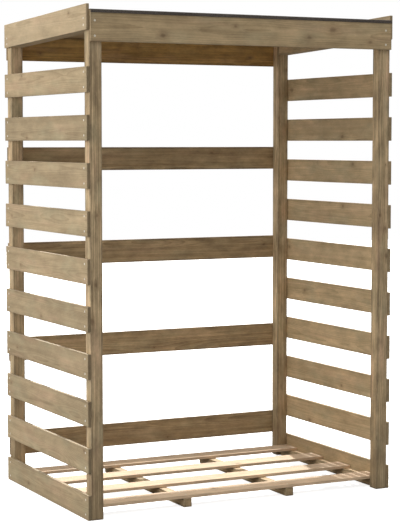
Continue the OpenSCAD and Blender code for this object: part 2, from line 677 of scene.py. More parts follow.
def vector_maths(tree, operation, *values):
    """One Vector Math node."""
    node = tree.nodes.new("ShaderNodeVectorMath")
    node.operation = operation
    for socket, value in zip(node.inputs, values):
        feed(tree, socket, value)
    return node.outputs["Value" if operation in {"DOT_PRODUCT", "LENGTH"} else "Vector"]


def ease_range(tree, value, low, high):
    """0 at low, 1 at high, and a smooth rise or fall between."""
    node = tree.nodes.new("ShaderNodeMapRange")
    node.interpolation_type = "SMOOTHSTEP"
    for label, number in (("Value", value), ("From Min", low), ("From Max", high)):
        feed(tree, node.inputs[label], number)
    return node.outputs[0]


def mix_colour(tree, factor, first, second, kind="MIX"):
    """One Mix node on colours."""
    node = tree.nodes.new("ShaderNodeMix")
    node.data_type = "RGBA"
    node.blend_type = kind
    feed(tree, node.inputs[0], factor)
    feed(tree, node.inputs[6], first)
    feed(tree, node.inputs[7], second)
    return node.outputs[2]


def cloud(tree, vector, stretch, salt, detail=3.0, colour=False):
    """A Noise texture, stretched by a vector and moved by a salt vector."""
    scaled = vector_maths(tree, "MULTIPLY", vector, stretch)
    moved = vector_maths(tree, "ADD", scaled, salt)
    node = tree.nodes.new("ShaderNodeTexNoise")
    node.inputs["Scale"].default_value = 1.0
    node.inputs["Detail"].default_value = detail
    tree.links.new(moved, node.inputs["Vector"])
    return node.outputs[1 if colour else 0]


print("helpers for single nodes ready")

# %% Helpers for vectors and groups
def split(tree, vector):
    """The three numbers of a vector."""
    node = tree.nodes.new("ShaderNodeSeparateXYZ")
    feed(tree, node.inputs[0], vector)
    return node.outputs


def join(tree, x, y, z):
    """A vector from three numbers."""
    node = tree.nodes.new("ShaderNodeCombineXYZ")
    for socket, value in zip(node.inputs, (x, y, z)):
        feed(tree, socket, value)
    return node.outputs[0]


def new_group(name, inputs, outputs):
    """An empty node group with named inputs and outputs."""
    tree = bpy.data.node_groups.new(name, "ShaderNodeTree")
    for label, kind, value in inputs:
        socket = tree.interface.new_socket(label, in_out="INPUT", socket_type="NodeSocket" + kind)
        socket.default_value = value
    for label, kind in outputs:
        tree.interface.new_socket(label, in_out="OUTPUT", socket_type="NodeSocket" + kind)
    given = tree.nodes.new("NodeGroupInput").outputs
    result = tree.nodes.new("NodeGroupOutput").inputs
    return tree, given, result


def use_group(tree, group, values):
    """Place a group in a material with that material's own values."""
    node = tree.nodes.new("ShaderNodeGroup")
    node.node_tree = group
    for label, value in values.items():
        feed(tree, node.inputs[label], value)
    return node.outputs


def salt_from(tree, seed, spread=(7.3, 3.1, 5.7)):
    """A vector that moves a texture to a fresh part of itself for each seed."""
    return vector_maths(tree, "MULTIPLY", join(tree, seed, seed, seed), spread)


print("helpers for groups ready")

# %% [markdown]
# ## A board's own coordinates
# Grain has to follow the board it is in, not the room. The first group turns a point of the
# surface into the board's own metres: how far along, across and through it lies, from the
# board's middle. It also marks the sawn ends, where the grain is seen end-on. UV maps could do
# this, but they would have to be made again for every mesh.

# %% Group: Board Place
board_place, given, result = new_group(
    "Board Place",
    [("Centre", "Vector", (0, 0, 0)), ("Along", "Vector", (1, 0, 0)),
     ("Across", "Vector", (0, 1, 0)), ("Through", "Vector", (0, 0, 1))],
    [("Place", "Vector"), ("End Grain", "Float")],
)
tree = board_place
surface = tree.nodes.new("ShaderNodeTexCoord").outputs["Object"]
normal = tree.nodes.new("ShaderNodeNewGeometry").outputs["Normal"]
offset = vector_maths(tree, "SUBTRACT", surface, given["Centre"])
parts = [vector_maths(tree, "DOT_PRODUCT", offset, given[way])
         for way in ("Along", "Across", "Through")]
facing = maths(tree, "ABSOLUTE", vector_maths(tree, "DOT_PRODUCT", normal, given["Along"]))
feed(tree, result["Place"], join(tree, *parts))
feed(tree, result["End Grain"], ease_range(tree, facing, 0.6, 0.85))
print("group:", tree.name)

# %% [markdown]
# ## Knots
# A knot is the root of a branch. It shows as a dark oval with its own rings, the grain swings
# round it, and resin darkens the wood beside it. The group takes the board's coordinates, one
# knot's place and radius and the way its branch grew through the wood. It gives a mask for the
# knot, one for its halo, and coordinates bent round the knot, so that the grain drawn with
# them flows past it. Several in a row make a knotty board.

# %% Group: Knot
KNOT_LENGTHEN = 1.45  # a sawn knot is longer along the board than across it
knot_group, given, result = new_group(
    "Knot",
    [("Place", "Vector", (0, 0, 0)), ("Spot", "Vector", (0, 0, 0)),
     ("Branch", "Vector", (0, 0, 1)), ("Radius", "Float", 0.01)],
    [("Place", "Vector"), ("Core", "Float"), ("Halo", "Float")],
)
tree = knot_group
away = vector_maths(tree, "SUBTRACT", given["Place"], given["Spot"])
sideways = vector_maths(tree, "CROSS_PRODUCT", (1, 0, 0), given["Branch"])
beside = vector_maths(tree, "DOT_PRODUCT", away, sideways)
flat = join(tree, maths(tree, "DIVIDE", split(tree, away)[0], KNOT_LENGTHEN), beside, 0.0)
distance = maths(tree, "DIVIDE", vector_maths(tree, "LENGTH", flat), given["Radius"])
wobble = cloud(tree, given["Place"], (70, 70, 70), given["Spot"], 3.0)
rough_distance = maths(tree, "ADD", distance, maths(tree, "MULTIPLY", wobble, 1.1))
reach = ease_range(tree, distance, 4.2, 0.4)
lean = maths(tree, "DIVIDE", beside,
             maths(tree, "ADD", maths(tree, "ABSOLUTE", beside), given["Radius"]))
push = maths(tree, "MULTIPLY", maths(tree, "MULTIPLY", lean, reach), given["Radius"])
shift = vector_maths(tree, "MULTIPLY", sideways, join(tree, push, push, push))
feed(tree, result["Place"], vector_maths(tree, "SUBTRACT", given["Place"], shift))
feed(tree, result["Core"], ease_range(tree, rough_distance, 1.9, 0.9))
feed(tree, result["Halo"], ease_range(tree, rough_distance, 4.4, 1.0))
print("group:", tree.name)

# %% [markdown]
# ## Sawn grain
# A tree grows in rings, and a saw cuts through them at a slant. So the group draws real rings:
# the distance from a pith line that lies off the board, bent slowly along the length, gives
# the long flames on the face and the arcs on the ends in one go. Fine fibres, broad streaks
# and the faint cross marks of the band saw lie over them. A Wave texture alone would look
# printed, because its lines never wander.

# %% Group: Sawn Grain
SAW_PITCH = 3.1 * MM
SAW_DEPTH = 0.10
sawn_grain, given, result = new_group(
    "Sawn Grain",
    [("Place", "Vector", (0, 0, 0)), ("Pith", "Vector", (0, 0.01, 0.05)), ("Seed", "Float", 0.0),
     ("Ring Width", "Float", 0.004), ("Wander", "Float", 0.012), ("Streak Width", "Float", 0.024)],
    [("Rings", "Float"), ("Fibres", "Float"), ("Streaks", "Float"), ("Height", "Float")],
)
tree = sawn_grain
salt = salt_from(tree, given["Seed"])
drift = cloud(tree, given["Place"], (1.3, 2.0, 2.0), salt, 2.0, colour=True)
drift = vector_maths(tree, "SUBTRACT", drift, (0.5, 0.5, 0.5))
sway = maths(tree, "MULTIPLY", given["Wander"], 4.0)
drift = vector_maths(tree, "MULTIPLY", drift, join(tree, 0.0, sway, sway))
swayed = vector_maths(tree, "ADD", given["Place"], drift)
from_pith = split(tree, vector_maths(tree, "SUBTRACT", swayed, given["Pith"]))
radius = vector_maths(tree, "LENGTH", join(tree, 0.0, from_pith[1], from_pith[2]))
unsteady = maths(tree, "MULTIPLY", cloud(tree, given["Place"], (5, 70, 70), salt), 0.7)
age = maths(tree, "ADD", maths(tree, "DIVIDE", radius, given["Ring Width"]), unsteady)
rings = maths(tree, "POWER", maths(tree, "FRACT", age), 2.2)
fibres = cloud(tree, given["Place"], (9, 520, 520), salt, 2.0)
streak_rate = maths(tree, "DIVIDE", 1.0, given["Streak Width"])
streak_cloud = cloud(tree, given["Place"], join(tree, 1.7, streak_rate, streak_rate), salt, 5.0)
streaks = ease_range(tree, streak_cloud, 0.34, 0.66)
saw_line = maths(tree, "MULTIPLY", split(tree, swayed)[0], 2 * math.pi / SAW_PITCH)
saw_marks = maths(tree, "MULTIPLY", maths(tree, "SINE", saw_line), SAW_DEPTH)
height = maths(tree, "ADD", maths(tree, "MULTIPLY", rings, 0.45),
               maths(tree, "MULTIPLY", fibres, 0.55))
feed(tree, result["Rings"], rings)
feed(tree, result["Fibres"], fibres)
feed(tree, result["Streaks"], streaks)
feed(tree, result["Height"], maths(tree, "ADD", height, saw_marks))
print("group:", tree.name)

# %% [markdown]
# ## Tanalised colour
# Pressure treatment leaves pine a soft brown with a green cast where more of the fluid went in
# and a pink one where the heartwood took less. The group lays slow patches of both over any
# wood colour and lets the whole board go a little lighter and darker along its length.

# %% Group: Treated Tint
treated_tint, given, result = new_group(
    "Treated Tint",
    [("Colour", "Color", (0.5, 0.4, 0.25, 1)), ("Place", "Vector", (0, 0, 0)),
     ("Seed", "Float", 0.0), ("Green", "Color", (0.42, 0.40, 0.24, 1)),
     ("Pink", "Color", (0.56, 0.38, 0.26, 1)), ("Green Amount", "Float", 0.5),
     ("Pink Amount", "Float", 0.4)],
    [("Colour", "Color")],
)
tree = treated_tint
salt = salt_from(tree, given["Seed"], (2.9, 8.1, 4.3))
green_patch = ease_range(tree, cloud(tree, given["Place"], (5.5, 14, 14), salt), 0.46, 0.72)
pink_salt = salt_from(tree, given["Seed"], (9.7, 1.3, 6.1))
pink_patch = ease_range(tree, cloud(tree, given["Place"], (3.6, 22, 22), pink_salt), 0.48, 0.74)
green_share = maths(tree, "MULTIPLY", green_patch, given["Green Amount"])
pink_share = maths(tree, "MULTIPLY", pink_patch, given["Pink Amount"])
toned = mix_colour(tree, green_share, given["Colour"], given["Green"])
toned = mix_colour(tree, pink_share, toned, given["Pink"])
slow = cloud(tree, given["Place"], (3.1, 7, 7), pink_salt, 2.0)
light = maths(tree, "ADD", maths(tree, "MULTIPLY", slow, 0.36), 0.82)
toned = mix_colour(tree, 1.0, toned, join(tree, light, light, light), "MULTIPLY")
feed(tree, result["Colour"], toned)
print("group:", tree.name)

# %% [markdown]
# ## Worn arrises
# Edges are handled, knocked and bleached first. The group works out how near a point is to the
# nearest edge of its board from the board's half sizes, and breaks the band up with a little
# noise. A Bevel node could find edges too, but it is slow and only works in one renderer.

# %% Group: Arris Wear
arris_wear, given, result = new_group(
    "Arris Wear",
    [("Place", "Vector", (0, 0, 0)), ("Half", "Vector", (1, 1, 1)), ("Width", "Float", 0.003),
     ("Seed", "Float", 0.0)],
    [("Mask", "Float")],
)
tree = arris_wear
inside = vector_maths(tree, "SUBTRACT", given["Half"],
                      vector_maths(tree, "ABSOLUTE", given["Place"]))
a, b, c = split(tree, inside)
least = maths(tree, "MINIMUM", maths(tree, "MINIMUM", a, b), c)
most = maths(tree, "MAXIMUM", maths(tree, "MAXIMUM", a, b), c)
total = maths(tree, "ADD", maths(tree, "ADD", a, b), c)
to_edge = maths(tree, "SUBTRACT", maths(tree, "SUBTRACT", total, least), most)
ragged = cloud(tree, given["Place"], (30, 120, 120), salt_from(tree, given["Seed"]))
limit = maths(tree, "MULTIPLY", given["Width"], maths(tree, "ADD", ragged, 0.4))
near = maths(tree, "DIVIDE", to_edge, limit)
feed(tree, result["Mask"], ease_range(tree, near, 1.0, 0.3))
print("group:", tree.name)

# %% [markdown]
# ## Dust, damp and underside shade
# Dust settles on what faces up, in patches, on boards and felt alike. Damp climbs the feet of
# the posts from wet ground and darkens the wood. What faces down is darkened too, as painted
# shade. The group gives a mask for each of the three, so a material takes only those it needs.

# %% Group: Dust, damp and underside shade
FOOT_TOP = 0.5
FOOT_SOAKED = 0.02
dust_damp_and_shade_group, given, result = new_group(
    "Dust Damp And Shade", [("Seed", "Float", 0.0), ("Cover", "Float", 0.5)],
    [("Mask", "Float"), ("Underside Shade", "Float"), ("Foot", "Float")])
tree = dust_damp_and_shade_group
surface = tree.nodes.new("ShaderNodeTexCoord").outputs["Object"]
upward = split(tree, tree.nodes.new("ShaderNodeNewGeometry").outputs["Normal"])[2]
patches = cloud(tree, surface, (9, 9, 9), salt_from(tree, given["Seed"]), 4.0)
settled = maths(tree, "MULTIPLY", ease_range(tree, upward, 0.5, 0.95),
                ease_range(tree, patches, 0.3, 0.7))
feed(tree, result["Mask"], maths(tree, "MULTIPLY", settled, given["Cover"]))
# painted shade: faces that look down are darkened
feed(tree, result["Underside Shade"], ease_range(tree, upward, -0.25, -0.8))
wavy = maths(tree, "MULTIPLY", maths(tree, "SUBTRACT", patches, 0.5), 0.2)
height = maths(tree, "ADD", split(tree, surface)[2], wavy)
feed(tree, result["Foot"], ease_range(tree, height, FOOT_TOP, FOOT_SOAKED))
print("group:", tree.name)

# %% [markdown]
# ## Weather and edge shade
# Wood that has stood outside is never one tone: it has cloudy patches a hand wide and speckles
# from rain and the saw. A grey-brown edging along every edge of a board is painted shade. The
# group gives one value that darkens or lightens any colour it is multiplied with. Painting such
# patches by hand would look better on one board, but there are over forty.

# %% Group: Weather and edge shade
weather_and_edge_shade_group, given, result = new_group(
    "Weather And Edge Shade",
    [("Place", "Vector", (0, 0, 0)), ("Seed", "Float", 0.0), ("Edge Shade", "Float", 0.0),
     ("Strength", "Float", 1.0), ("Stripes", "Float", 0.4)],
    [("Shade", "Float")],
)
tree = weather_and_edge_shade_group
salt = salt_from(tree, given["Seed"], (4.1, 6.7, 2.3))
patches = cloud(tree, given["Place"], (13, 30, 30), salt, 4.0)
speckle = cloud(tree, given["Place"], (70, 190, 190), salt, 3.0)
stripes = cloud(tree, given["Place"], (5, 150, 150), salt, 3.0)
uneven = maths(tree, "ADD", maths(tree, "MULTIPLY", maths(tree, "SUBTRACT", patches, 0.5), 1.15),
               maths(tree, "MULTIPLY", maths(tree, "SUBTRACT", speckle, 0.5), 0.45))
uneven = maths(tree, "ADD", uneven,
               maths(tree, "MULTIPLY", maths(tree, "SUBTRACT", stripes, 0.5), given["Stripes"]))
# painted shade: a darker band along every edge of the board
edge_shade_amount = maths(tree, "MULTIPLY", given["Edge Shade"], 0.26)
uneven = maths(tree, "MULTIPLY", maths(tree, "SUBTRACT", uneven, edge_shade_amount), given["Strength"])
feed(tree, result["Shade"], maths(tree, "ADD", uneven, 1.0))
print("group:", tree.name)

# %% [markdown]
# ## Tones of the timber
# All the wood is the same pine. Each family of boards has its own pair of colours, for the early
# and the late wood, and its own amounts of green, pink, weather and stripes. The pairs were set
# family by family to come out as bright as each family looks where it stands in the light, so
# part of the difference between families is painted light and shade: the left slats are darker
# where the soft light falls full on them, the right slats, the floor boards and the bearers are
# lighter to lift the shade they stand in, and the top back rail carries the warm brown of its
# shade under the roof. The values are linear light, as Blender's colour sockets take them.

# %% The tones, with painted light and shade
TONES_AND_PAINTED_LIGHT = {  # rings: range of ring widths, and streak: width of the streaks, both in millimetres
    "post_": {"early": (0.66, 0.495, 0.295), "late": (0.25, 0.17, 0.09), "green": 0.5,
              "pink": 0.4, "rings": (5.0, 9.0), "streak": 8.0, "weather": 1.0, "stripes": 0.8},
    # painted light: darker, to hold back the soft light that falls full on the left side
    "slat_left": {"early": (0.473, 0.361, 0.219), "late": (0.318, 0.234, 0.135), "green": 0.45,
                  "pink": 0.35, "rings": (3.4, 5.6), "streak": 22.0, "weather": 0.48,
                  "stripes": 0.35},
    # painted light: lighter, to lift the shade on the inner faces of the right side
    "slat_right": {"early": (0.64, 0.48, 0.28), "late": (0.44, 0.32, 0.178), "green": 0.45,
                   "pink": 0.2, "rings": (3.4, 5.6), "streak": 18.0, "weather": 0.65,
                   "stripes": 0.35},
    "barge_": {"early": (0.525, 0.405, 0.256), "late": (0.40, 0.30, 0.178), "green": 0.15,
               "pink": 0.25, "rings": (3.4, 5.6), "streak": 24.0, "weather": 0.45,
               "stripes": 0.3},
    "fascia": {"early": (0.56, 0.418, 0.241), "late": (0.37, 0.264, 0.144), "green": 0.35,
               "pink": 0.25, "rings": (3.4, 6.0), "streak": 18.0, "weather": 0.6,
               "stripes": 0.4},
    # painted shade: the warm, saturated brown that this rail shows in the shade under the roof
    "back_rail_top": {"early": (0.64, 0.405, 0.148), "late": (0.33, 0.185, 0.059), "green": 0.1,
                      "pink": 0.3, "rings": (3.4, 6.0), "streak": 14.0, "weather": 1.0,
                      "stripes": 0.6},
    "back_rail_": {"early": (0.52, 0.383, 0.218), "late": (0.277, 0.184, 0.098), "green": 0.3,
                   "pink": 0.25, "rings": (3.4, 6.0), "streak": 14.0, "weather": 0.9,
                   "stripes": 0.6},
    # painted light: lighter, to lift the shade that the bearers stand in under the floor
    "floor_bearer_": {"early": (0.85, 0.63, 0.37), "late": (0.52, 0.36, 0.195), "green": 0.4,
                      "pink": 0.2, "rings": (3.4, 6.0), "streak": 12.0, "weather": 0.9,
                      "stripes": 0.5},
    # painted light: pale, to lift the shade on the floor boards under the roof
    "floor_slat_": {"early": (0.95, 0.715, 0.48), "late": (0.80, 0.56, 0.365), "green": 0.05,
                    "pink": 0.35, "rings": (3.4, 6.0), "streak": 22.0, "weather": 0.5,
                    "stripes": 0.4},
    "roof_rail_": {"early": (0.68, 0.505, 0.308), "late": (0.46, 0.33, 0.187), "green": 0.4,
                   "pink": 0.2, "rings": (3.4, 6.0), "streak": 14.0, "weather": 0.8,
                   "stripes": 0.5},
    "roof_board": {"early": (0.52, 0.37, 0.21), "late": (0.36, 0.25, 0.14), "green": 0.2,
                   "pink": 0.2, "rings": (3.4, 6.0), "streak": 22.0, "weather": 0.8,
                   "stripes": 0.5},
}
KNOT_COLOUR = (0.115, 0.066, 0.034)
HALO_COLOUR = (0.27, 0.175, 0.095)
WORN_COLOUR = (0.74, 0.57, 0.37)
DUST_COLOUR = (0.66, 0.58, 0.46)
# dark colour for damp at the feet of the posts, also used as painted shade on what faces down
DAMP_AND_SHADE_COLOUR = (0.20, 0.145, 0.08)
FOOT_DAMP = {"posts": 0.4, "cladding": 0.08}
GREEN_CAST = (0.43, 0.375, 0.235)
PINK_CAST = (0.60, 0.39, 0.255)


def tone_of(node):
    """The tone of the family that a node belongs to."""
    return next(tone for start, tone in TONES_AND_PAINTED_LIGHT.items() if node.startswith(start))


print("tones:", len(TONES_AND_PAINTED_LIGHT))

# %% [markdown]
# ## Where the knots are
# A few knots are put where a maker would notice them: in the two front posts, in the fascia and
# in the top slat on the right. They are measured from the low end and the low side of the
# board, as on a bench, so they stay in the wood when the store is made larger. Every board
# then gets a few more at random from its own seed.

# %% Place the knots
CHOSEN_KNOTS = {  # node: (millimetres from its low end, from its low side, radius, branch)
    "post_front_left": [(744, 5.4, 9, "Y"), (880, 22, 6, "Y")],
    "post_front_right": [(950, 39, 8, "Y"), (1060, 33, 6, "Y")],
    "fascia": [(1027, 70.6, 10, "Y"), (920, 37.6, 7, "Y"), (1200, 27.6, 6, "Y"),
               (290, 27.6, 8, "Y")],
    "slat_right_10": [(784, 48.4, 11, "X")],
}
MOST_EXTRA_KNOTS = 3
KNOTS_PER_METRE = {"posts": 1.0, "cladding": 1.0, "bearers": 1.4, "floor": 1.0, "roof_timber": 1.0}


def board_centre(board):
    """The middle of a board's box."""
    return (board["low"] + board["high"]) / 2


def in_board(board, vector):
    """A direction or distance of the frame in the board's own order: along, across, through."""
    return Vector([vector.dot(AXES[board[side]]) for side in ("run", "across", "through")])


def chosen_knot(board, along, beside, radius, way):
    """A knot measured from a board's low corner: place, radius and branch."""
    side = next(axis for axis in "XYZ" if axis not in (board["run"], way))
    point = board["low"] + (AXES[board["run"]] * along + AXES[side] * beside) * MM
    return in_board(board, point - board_centre(board)), radius * MM, in_board(board, AXES[way])


def knots_of(node, board, rng):
    """The knots of one board, in its own coordinates: place, radius and branch."""
    length, width, _ = sizes(board)
    found = [chosen_knot(board, *knot) for knot in CHOSEN_KNOTS.get(node, [])]
    extra = round(KNOTS_PER_METRE[board["slot"]] * length * rng.uniform(0.5, 1.4))
    square = board["slot"] in ("posts", "bearers")
    for _ in range(min(extra, MOST_EXTRA_KNOTS)):
        along = rng.uniform(-0.47, 0.47) * length
        beside = rng.uniform(-0.40, 0.40) * width
        turned = square and rng.random() < 0.5
        place = Vector((along, 0.0, beside) if turned else (along, beside, 0.0))
        branch = Vector((0, 1, 0) if turned else (0, 0, 1))
        found.append((place, rng.uniform(0.003, 0.0075), branch))
    return found


print("chosen knots:", sum(len(k) for k in CHOSEN_KNOTS.values()))

# %% [markdown]
# ## The timber material
# One function makes a material for one board: it places the groups with that board's axes,
# seed, knots and tone, and joins their outputs in a Principled BSDF. The shader itself stays
# in the material, and its constant values are set straight on its sockets.

# %% Material helpers
def new_material(name):
    """A material with an empty tree, its Principled BSDF and output."""
    material = bpy.data.materials.new(name)
    material.use_nodes = True
    tree = material.node_tree
    tree.nodes.clear()
    shader = tree.nodes.new("ShaderNodeBsdfPrincipled")
    out = tree.nodes.new("ShaderNodeOutputMaterial")
    tree.links.new(shader.outputs[0], out.inputs["Surface"])
    return material, tree, shader


def bump(tree, height, strength, distance):
    """A Bump node on a height."""
    node = tree.nodes.new("ShaderNodeBump")
    node.inputs["Strength"].default_value = strength
    node.inputs["Distance"].default_value = distance
    tree.links.new(height, node.inputs["Height"])
    return node.outputs[0]


def tinted(colour, amount):
    """A colour made lighter or darker."""
    return tuple(min(1.0, part * amount) for part in colour)


print("material helpers ready")

# %% Layers of clean wood
RING_SHARE = 0.55  # how much of the dark wood is rings, the rest being streaks
LATE_SHARE = 0.98
FIBRE_CONTRAST = 0.24
HALO_SHARE = 0.38
CORE_SHARE = 0.42
END_GRAIN_SHARE = 0.6
END_GRAIN_DARK = 0.7


def bend_round_knots(tree, place, knots):
    """The knots of a board: bent coordinates, and masks for the knots and their halos."""
    core, halo = 0.0, 0.0
    for knot_at, radius, branch in knots:
        knot = use_group(tree, knot_group, {
            "Place": place, "Spot": knot_at, "Branch": branch, "Radius": radius})
        place = knot["Place"]
        core = maths(tree, "MAXIMUM", core, knot["Core"])
        halo = maths(tree, "MAXIMUM", halo, knot["Halo"])
    return place, core, halo


def wood_colour(tree, tone, amount, place, seed, grain):
    """The colour of clean treated wood: early and late wood, tint and fibres."""
    early, late = tinted(tone["early"], amount), tinted(tone["late"], amount * LATE_SHARE)
    dark = maths(tree, "ADD", maths(tree, "MULTIPLY", grain["Rings"], RING_SHARE),
                 maths(tree, "MULTIPLY", grain["Streaks"], 1 - RING_SHARE))
    colour = mix_colour(tree, dark, early, late)
    colour = use_group(tree, treated_tint, {
        "Colour": colour, "Place": place, "Seed": seed,
        "Green": tinted(GREEN_CAST, 0.75 + 0.5 * early[0]),
        "Pink": tinted(PINK_CAST, 0.45 + 0.9 * early[0]),
        "Green Amount": tone["green"], "Pink Amount": tone["pink"]})["Colour"]
    fine = maths(tree, "ADD", maths(tree, "MULTIPLY", grain["Fibres"], FIBRE_CONTRAST),
                 1 - FIBRE_CONTRAST / 2)
    return mix_colour(tree, 1.0, colour, join(tree, fine, fine, fine), "MULTIPLY")


print("wood layers ready")

# %% Layers that weather and painted shade add
WORN_WIDTH = 3.2 * MM
WORN_SHARE = 0.25
# width of the band of painted shade along every edge
EDGE_SHADE_WIDTH = 11 * MM
DUST_COVER = 0.3
# how strongly the painted shade darkens what faces down
UNDERSIDE_SHADE_SHARE = 0.5


def half_sizes(board):
    """Half the board's length, width and thickness, as its box has them."""
    length, width, depth = sizes(board)
    if board["leans"] and board["across"] == "Z":
        width = board["high"].z - board["low"].z
    return length / 2, width / 2, depth / 2


def weathered_and_shaded(tree, colour, tone, board, place, seed):
    """Wear, weather, dust and damp laid over a colour, with painted shade along the edges and on what
    faces down.
    """
    half = half_sizes(board)
    worn = use_group(tree, arris_wear, {
        "Place": place, "Half": half, "Width": WORN_WIDTH, "Seed": seed})["Mask"]
    colour = mix_colour(tree, maths(tree, "MULTIPLY", worn, WORN_SHARE), colour, WORN_COLOUR)
    # painted shade along every edge of the board
    edge_shade_mask = use_group(tree, arris_wear, {
        "Place": place, "Half": half, "Width": EDGE_SHADE_WIDTH, "Seed": seed + 5.0})["Mask"]
    shade = use_group(tree, weather_and_edge_shade_group, {
        "Place": place, "Seed": seed, "Edge Shade": edge_shade_mask, "Strength": tone["weather"],
        "Stripes": tone["stripes"]})["Shade"]
    colour = mix_colour(tree, 1.0, colour, join(tree, shade, shade, shade), "MULTIPLY")
    dust = use_group(tree, dust_damp_and_shade_group, {"Seed": seed, "Cover": DUST_COVER})
    colour = mix_colour(tree, dust["Mask"], colour, DUST_COLOUR)
    # painted shade on what faces down
    underside_shade = maths(tree, "MULTIPLY", dust["Underside Shade"], UNDERSIDE_SHADE_SHARE)
    colour = mix_colour(tree, underside_shade, colour, DAMP_AND_SHADE_COLOUR)
    foot = maths(tree, "MULTIPLY", dust["Foot"], FOOT_DAMP.get(board["slot"], 0.0))
    return mix_colour(tree, foot, colour, DAMP_AND_SHADE_COLOUR)


print("weather layers ready")

# %% One material for each board
def timber(node, board, number):
    """The material of one sawn board."""
    rng = random.Random(100 + number)
    tone, seed = tone_of(node), number * 1.37
    amount = rng.uniform(0.93, 1.07)
    material, tree, shader = new_material("timber_" + node)
    spot = use_group(tree, board_place, {
        "Centre": board_centre(board), "Along": AXES[board["run"]],
        "Across": AXES[board["across"]], "Through": AXES[board["through"]],
    })
    place, core, halo = bend_round_knots(tree, spot["Place"], knots_of(node, board, rng))
    width = sizes(board)[1]
    pith = (0.0, rng.uniform(-0.5, 0.5) * width, rng.choice((-1, 1)) * rng.uniform(0.015, 0.05))
    grain = use_group(tree, sawn_grain, {
        "Place": place, "Pith": pith, "Seed": seed,
        "Ring Width": rng.uniform(*tone["rings"]) * MM, "Wander": rng.uniform(0.008, 0.016),
        "Streak Width": tone["streak"] * MM})
    colour = wood_colour(tree, tone, amount, spot["Place"], seed, grain)
    colour = mix_colour(tree, maths(tree, "MULTIPLY", halo, HALO_SHARE), colour, HALO_COLOUR)
    colour = mix_colour(tree, maths(tree, "MULTIPLY", core, CORE_SHARE), colour, KNOT_COLOUR)
    end_colour = tinted(tone["late"], amount * LATE_SHARE * END_GRAIN_DARK)
    end_share = maths(tree, "MULTIPLY", spot["End Grain"], END_GRAIN_SHARE)
    colour = mix_colour(tree, end_share, colour, end_colour)
    colour = weathered_and_shaded(tree, colour, tone, board, spot["Place"], seed)
    rough = maths(tree, "ADD", maths(tree, "MULTIPLY", grain["Fibres"], 0.22), 0.62)
    feed(tree, shader.inputs["Base Color"], colour)
    feed(tree, shader.inputs["Roughness"], rough)
    shader.inputs["Specular IOR Level"].default_value = 0.28
    feed(tree, shader.inputs["Normal"], bump(tree, grain["Height"], 0.55, 0.9 * MM))
    return material


for number, (node, board) in enumerate(boards.items()):
    pieces[node].data.materials.clear()
    pieces[node].data.materials.append(timber(node, board, number))
print("timber materials:", len(pieces))

# %% [markdown]
# ## Mineral felt
# The felt is bitumen with crushed slate pressed into it. Close up it is a bed of grey and
# brown grains; from a step back it is a dark matt sheet with slow patches where grains have
# worn off. A Voronoi texture gives each grain its own shade and height.

# %% Felt
GRAIN_PER_METRE = 620.0


def mineral_felt():
    """Dark felt covered with mineral grains."""
    material, tree, shader = new_material("mineral_felt")
    surface = tree.nodes.new("ShaderNodeTexCoord").outputs["Object"]
    grains = tree.nodes.new("ShaderNodeTexVoronoi")
    grains.inputs["Scale"].default_value = GRAIN_PER_METRE
    tree.links.new(surface, grains.inputs["Vector"])
    shade = split(tree, grains.outputs["Color"])[0]
    worn = ease_range(tree, cloud(tree, surface, (5, 9, 9), (4.0, 1.0, 2.0), 5.0), 0.45, 0.7)
    colour = mix_colour(tree, shade, (0.050, 0.040, 0.034), (0.155, 0.132, 0.115))
    colour = mix_colour(tree, maths(tree, "MULTIPLY", worn, 0.45), colour, (0.055, 0.042, 0.035))
    dust = use_group(tree, dust_damp_and_shade_group, {"Seed": 9.0, "Cover": 0.35})["Mask"]
    colour = mix_colour(tree, dust, colour, (0.24, 0.21, 0.18))
    feed(tree, shader.inputs["Base Color"], colour)
    feed(tree, shader.inputs["Roughness"], maths(tree, "ADD", maths(tree, "MULTIPLY", shade, 0.15), 0.8))
    shader.inputs["Specular IOR Level"].default_value = 0.3
    feed(tree, shader.inputs["Normal"], bump(tree, grains.outputs["Distance"], 0.7, 0.6 * MM))
    return material


felt.data.materials.clear()
felt.data.materials.append(mineral_felt())
print("felt material:", felt.data.materials[0].name)

# %% [markdown]
# ## Plated steel
# The screws and nails are zinc plated: a pale, slightly yellow metal with a satin face and
# fine scratches from the driver. Metal shows by its reflections, so most of the work is in the
# roughness.

# %% Zinc plate
def zinc_plate():
    """Pale plated steel with scratches and dull patches."""
    material, tree, shader = new_material("zinc_plate")
    surface = tree.nodes.new("ShaderNodeTexCoord").outputs["Object"]
    scratches = cloud(tree, surface, (2600, 700, 1500), (1.0, 5.0, 3.0), 3.0)
    patches = cloud(tree, surface, (160, 160, 160), (6.0, 2.0, 8.0), 2.0)
    colour = mix_colour(tree, patches, (0.95, 0.90, 0.78), (0.84, 0.78, 0.66))
    rough = maths(tree, "ADD", maths(tree, "MULTIPLY", scratches, 0.3), 0.32)
    feed(tree, shader.inputs["Base Color"], colour)
    feed(tree, shader.inputs["Roughness"], rough)
    shader.inputs["Metallic"].default_value = 0.3
    feed(tree, shader.inputs["Normal"], bump(tree, scratches, 0.25, 0.1 * MM))
    return material


plate = zinc_plate()
for piece in fixings:
    piece.data.materials.append(plate)
print("plated pieces:", len(fixings))

# %% [markdown]
# ## The floor of the studio
# The store stands on a plain pale floor. The floor is a stage, not part of the object. Seen by
# the camera it is almost white, and glows a little so that shadows on it stay faint; to the
# light that bounces up under the boards it is duller, as a real studio floor beyond the lamps
# would be. A Light Path node tells the two apart.

# %% Stage
STAGE_HALF = 14.0
STAGE_CELLS = 8
STAGE_BELOW = 0.4 * MM  # keeps the floor clear of the feet's own faces
STAGE_GLOW = 0.8
BOUNCED = (0.19, 0.19, 0.185)


